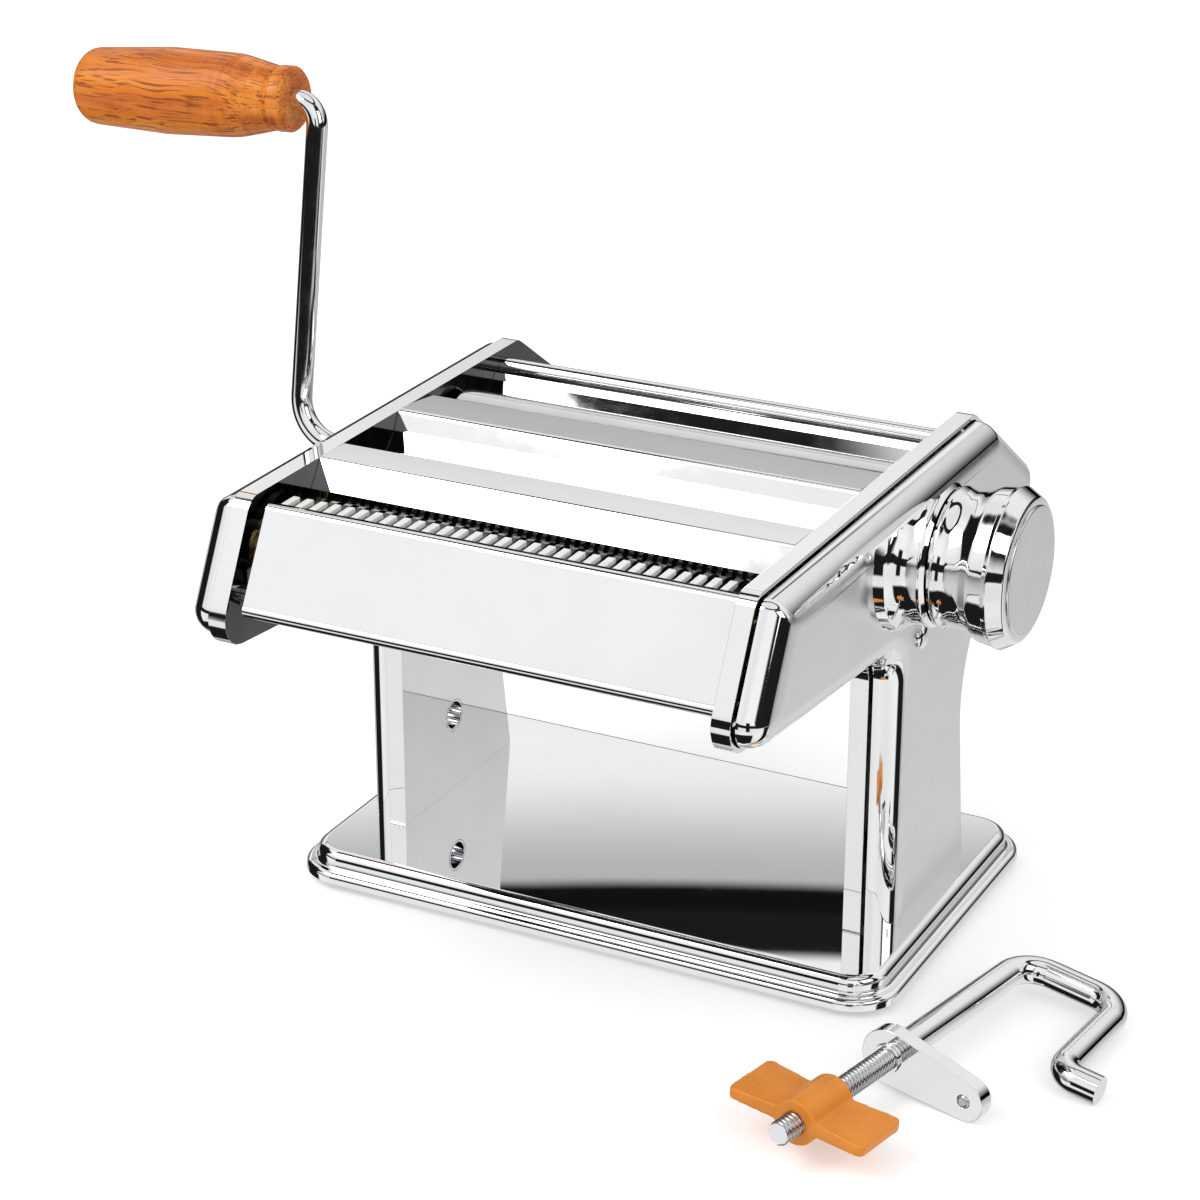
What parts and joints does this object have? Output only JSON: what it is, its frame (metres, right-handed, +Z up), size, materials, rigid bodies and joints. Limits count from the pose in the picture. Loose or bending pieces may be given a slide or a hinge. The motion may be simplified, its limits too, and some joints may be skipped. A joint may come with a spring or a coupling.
{
  "type": "pasta machine",
  "caption": "Hand cranked pasta machine with an adjustable pair of smooth rollers, cutter rollers, chromed side housings, a setting knob, a wooden crank grip and a table clamp.",
  "frame": {"origin": "middle of the base's footprint, on the table", "axes": "+X towards the setting knob, -Y towards the front panel, +Z up"},
  "size_m": [0.3777, 0.2311, 0.2524],
  "materials": {
    "chrome_sheet": "mirror-polished chromed sheet steel",
    "rubber": "matt black moulded rubber",
    "white_plastic": "white moulded plastic",
    "bright_steel": "polished chromed steel bar",
    "plain_steel": "plain bright steel",
    "cutter_steel": "turned steel with sharp ring edges",
    "gear_steel": "greased dark steel",
    "brass": "machined brass",
    "knob_chrome": "mirror-polished chrome",
    "knob_face": "plain light grey satin disc",
    "wood": "orange-brown lacquered hardwood, grain along the grip",
    "orange_plastic": "satin orange moulded plastic"
  },
  "bodies": {
    "machine": {"base_plate": "chrome_sheet", "left_frame": "chrome_sheet", "right_frame": "chrome_sheet", "left_cover": "chrome_sheet", "right_cover": "chrome_sheet", "front_panel": "chrome_sheet", "mid_guard": "chrome_sheet", "roller_guard": "chrome_sheet", "feed_guide": "chrome_sheet", "chute_plate": "chrome_sheet", "cover_studs": "chrome_sheet", "rubber_feet": "rubber", "front_comb": "white_plastic", "tie_rods": "bright_steel", "tie_screws": "plain_steel", "foot_screws": "plain_steel", "foot_nuts": "plain_steel", "front_scraper": "plain_steel", "rear_scraper": "plain_steel", "clamp_socket": "plain_steel", "index_pin": "plain_steel", "wide_strippers": "plain_steel", "narrow_strippers": "plain_steel", "roller_bushes": "brass", "cutter_bushes": "brass", "knob_bush": "brass"},
    "rear_roller": {"rear_roller": "bright_steel", "rear_roller_gear": "gear_steel"},
    "roller_carriage": {"bearing_blocks": "brass"},
    "front_roller": {"front_roller": "bright_steel", "front_roller_gear": "gear_steel"},
    "crank": {"crank_rod": "bright_steel"},
    "grip": {"crank_grip": "wood"},
    "knob_shaft": {"knob_shaft": "plain_steel", "knob_retainer": "plain_steel", "knob_spring": "plain_steel"},
    "knob": {"knob": "knob_chrome", "knob_cap": "knob_face"},
    "wide_drive": {"wide_drive_cutter": "cutter_steel", "wide_drive_gear": "gear_steel"},
    "wide_idle": {"wide_idle_cutter": "cutter_steel", "wide_idle_gear": "gear_steel"},
    "narrow_drive": {"narrow_drive_cutter": "cutter_steel", "narrow_drive_gear": "gear_steel"},
    "narrow_idle": {"narrow_idle_cutter": "cutter_steel", "narrow_idle_gear": "gear_steel"},
    "clamp": {"clamp_rod": "bright_steel"},
    "clamp_arm": {"clamp_arm": "bright_steel", "clamp_pad": "plain_steel"},
    "wing_nut": {"wing_nut": "orange_plastic"}
  },
  "joints": [
    {"name": "knob_turn", "type": "hinge", "parent": "machine", "child": "knob_shaft", "pos_m": [0, -0.035, 0.1408], "axis": [1, 0, 0], "range_deg": [0, 180]},
    {"name": "knob_pull", "type": "slide", "parent": "knob_shaft", "child": "knob", "axis": [1, 0, 0], "range_m": [0, 0.006], "deforming": ["knob_spring"]},
    {"name": "roller_gap", "type": "slide", "parent": "machine", "child": "roller_carriage", "axis": [0, 1, 0], "range_m": [0, 0.0025]},
    {"name": "crank_turn", "type": "hinge", "parent": "roller_carriage", "child": "front_roller", "pos_m": [0, -0.02475, 0.136], "axis": [1, 0, 0], "continuous": true},
    {"name": "rear_roller_turn", "type": "hinge", "parent": "machine", "child": "rear_roller", "pos_m": [0, 0.00505, 0.136], "axis": [1, 0, 0], "continuous": true},
    {"name": "crank_pull", "type": "slide", "parent": "front_roller", "child": "crank", "axis": [-1, 0, 0], "range_m": [0, 0.016]},
    {"name": "grip_spin", "type": "hinge", "parent": "crank", "child": "grip", "pos_m": [-0.1253, -0.00653, 0.24041], "axis": [-0.9986, -0.009, -0.0516], "continuous": true},
    {"name": "wide_turn", "type": "hinge", "parent": "machine", "child": "wide_drive", "pos_m": [0, -0.0895, 0.136], "axis": [1, 0, 0], "continuous": true},
    {"name": "wide_idle_turn", "type": "hinge", "parent": "machine", "child": "wide_idle", "pos_m": [0, -0.1065, 0.136], "axis": [1, 0, 0], "continuous": true},
    {"name": "narrow_turn", "type": "hinge", "parent": "machine", "child": "narrow_drive", "pos_m": [0, -0.053, 0.136], "axis": [1, 0, 0], "continuous": true},
    {"name": "narrow_idle_turn", "type": "hinge", "parent": "machine", "child": "narrow_idle", "pos_m": [0, -0.07, 0.136], "axis": [1, 0, 0], "continuous": true},
    {"name": "clamp_lift", "type": "slide", "parent": "machine", "child": "clamp", "axis": [0, 0, 1], "range_m": [0, 0.06]},
    {"name": "arm_slide", "type": "slide", "parent": "clamp", "child": "clamp_arm", "axis": [0.1976, 0.98, -0.0244], "range_m": [-0.025, 0.0435]},
    {"name": "nut_turn", "type": "hinge", "parent": "clamp", "child": "wing_nut", "pos_m": [0.1066, -0.1475, 0.0122], "axis": [0.1976, 0.98, -0.0244], "continuous": true}
  ],
  "couplings": [
    {"joint": "knob_turn", "follows": "roller_gap", "rad_per_m": 1256},
    {"joint": "rear_roller_turn", "follows": "crank_turn", "ratio": -1},
    {"joint": "wide_idle_turn", "follows": "wide_turn", "ratio": -1},
    {"joint": "narrow_idle_turn", "follows": "narrow_turn", "ratio": -1}
  ]
}
